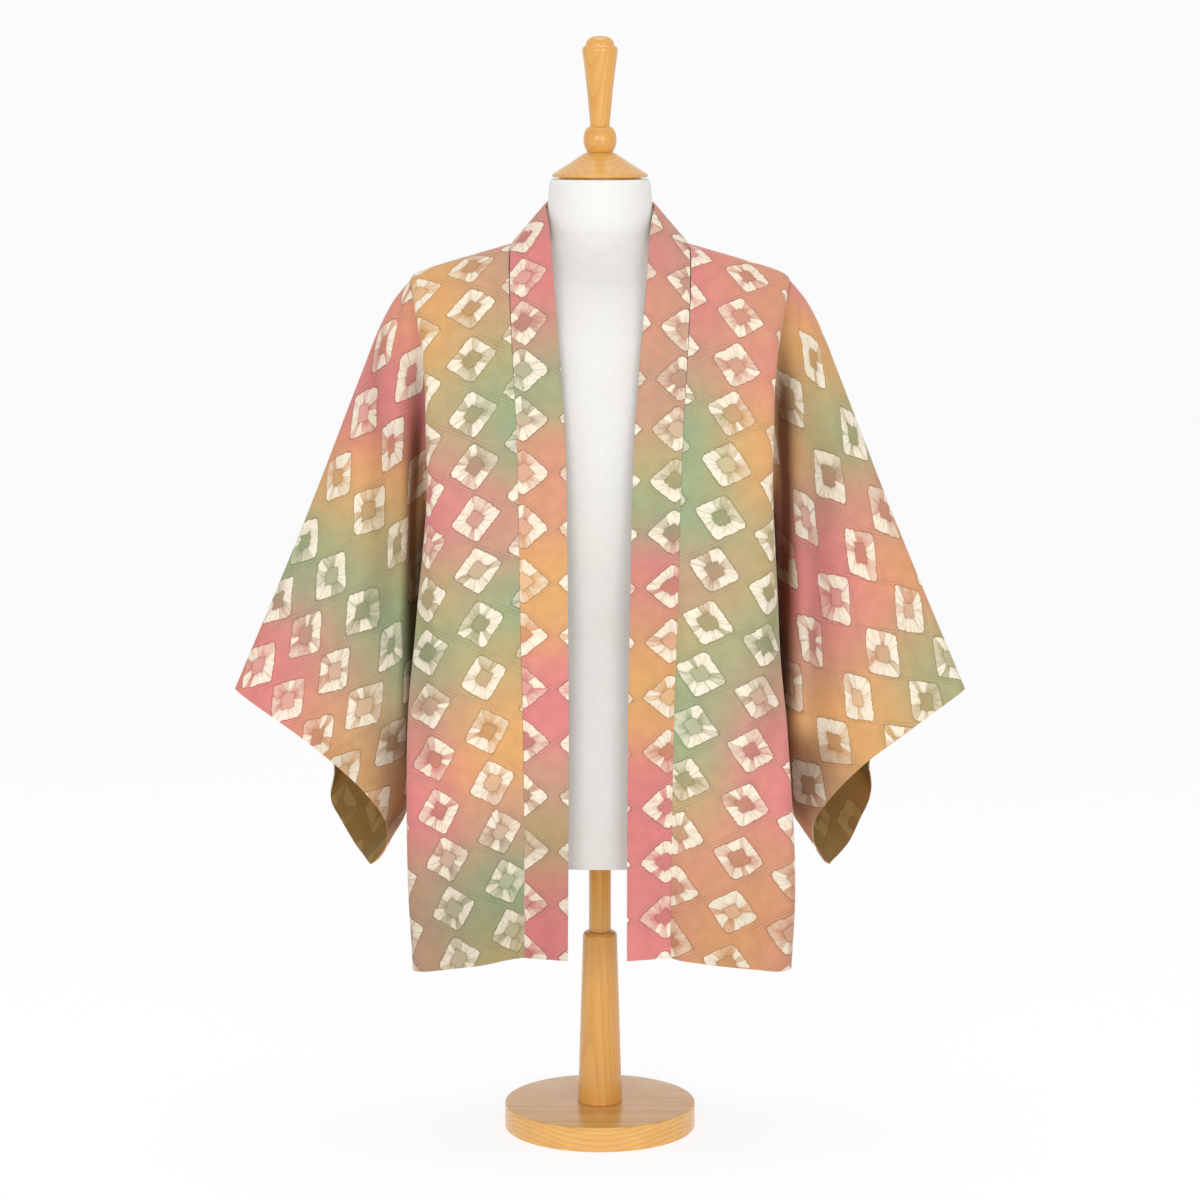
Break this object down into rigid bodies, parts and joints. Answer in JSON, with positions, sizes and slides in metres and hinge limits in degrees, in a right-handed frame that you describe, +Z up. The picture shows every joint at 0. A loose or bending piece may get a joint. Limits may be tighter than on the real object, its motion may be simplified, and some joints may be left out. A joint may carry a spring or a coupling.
{
  "type": "haori jacket on dress form",
  "caption": "Hip-length haori jacket with wide open sleeves and a long straight collar, hanging open on a limbless linen dress form with a turned wooden finial, pole and round base.",
  "frame": {"origin": "centre of the base's underside, on the floor", "axes": "+Z up, -Y out of the jacket's open front, +X towards the wearer's left"},
  "size_m": [0.8046, 0.2489, 1.2024],
  "materials": {
    "print_body": "soft matt cotton, shaded pink, orange and sage with a cream tie-dye lattice",
    "print_sleeve": "soft matt cotton, shaded pink, orange and sage with a cream tie-dye lattice",
    "print_collar": "soft matt cotton, shaded pink, orange and sage with a cream tie-dye lattice",
    "linen": "matt, fine plain weave, off-white",
    "wood": "satin lacquer over honey-coloured wood"
  },
  "bodies": {
    "root": {"body_right": "print_body", "body_left": "print_body", "sleeve_right": "print_sleeve", "sleeve_left": "print_sleeve", "collar": "print_collar", "form_torso": "linen", "neck_cap": "wood", "finial": "wood", "stand_pole": "wood", "stand_column": "wood", "stand_base": "wood"}
  },
  "joints": []
}
